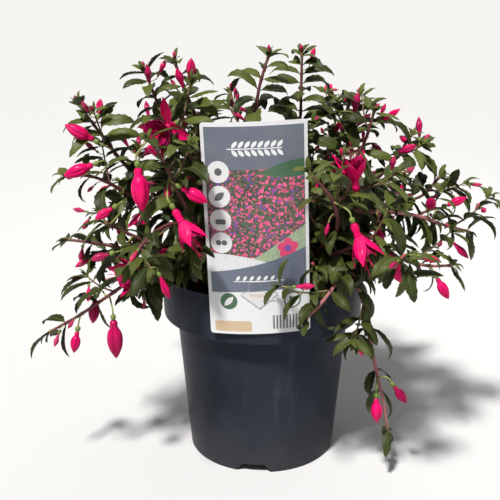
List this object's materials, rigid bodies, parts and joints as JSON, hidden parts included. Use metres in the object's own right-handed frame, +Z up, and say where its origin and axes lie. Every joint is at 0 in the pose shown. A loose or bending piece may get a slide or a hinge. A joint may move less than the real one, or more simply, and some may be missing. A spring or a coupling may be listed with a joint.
{
  "type": "potted fuchsia",
  "caption": "Bushy potted fuchsia with toothed leaves, hanging pink buds and open ruffled flowers, standing in a dark plastic nursery pot with a plant label hooked on its rim.",
  "frame": {"origin": "the middle of the pot's foot, on the surface that it stands on", "axes": "+Z up; -Y towards the viewer, the side with the plant label; +X to the label's right as it is read"},
  "size_m": [0.4304, 0.3448, 0.3983],
  "materials": {
    "pot_plastic": "satin",
    "potting_mix": "matte",
    "label_card": "gloss",
    "leafy_stem": "satin",
    "sepal": "satin",
    "corolla_petal": "satin"
  },
  "bodies": {
    "root": {"pot": "pot_plastic", "potting_mix": "potting_mix", "plant_label": "label_card", "stem_top_left": "leafy_stem", "stem_top_middle": "leafy_stem", "stem_top_right": "leafy_stem", "stem_right_high": "leafy_stem", "stem_right_long": "leafy_stem", "stem_right_trailing": "leafy_stem", "stem_front_right": "leafy_stem", "stem_front_left": "leafy_stem", "stem_left_high": "leafy_stem", "stem_left_low": "leafy_stem", "stem_back_left": "leafy_stem", "stem_back_middle": "leafy_stem", "stem_back_right": "leafy_stem", "stem_back_low": "leafy_stem", "bloom_01": "sepal", "corolla_01": "corolla_petal", "bud_01": "sepal", "bud_02": "sepal", "bud_03": "sepal", "bloom_02": "sepal", "corolla_02": "corolla_petal", "bud_04": "sepal", "bud_05": "sepal", "bud_06": "sepal", "bud_07": "sepal", "bloom_03": "sepal", "corolla_03": "corolla_petal", "bud_08": "sepal", "bud_09": "sepal", "bud_10": "sepal", "bud_11": "sepal", "bud_12": "sepal", "bloom_04": "sepal", "corolla_04": "corolla_petal", "bud_13": "sepal", "bud_14": "sepal", "bloom_05": "sepal", "corolla_05": "corolla_petal", "bud_15": "sepal", "bud_16": "sepal", "bud_17": "sepal", "bud_18": "sepal", "bud_19": "sepal", "bud_20": "sepal", "bloom_06": "sepal", "corolla_06": "corolla_petal", "bud_21": "sepal", "bloom_07": "sepal", "corolla_07": "corolla_petal", "bud_22": "sepal", "bloom_08": "sepal", "corolla_08": "corolla_petal", "bud_23": "sepal", "bud_24": "sepal"}
  },
  "joints": []
}
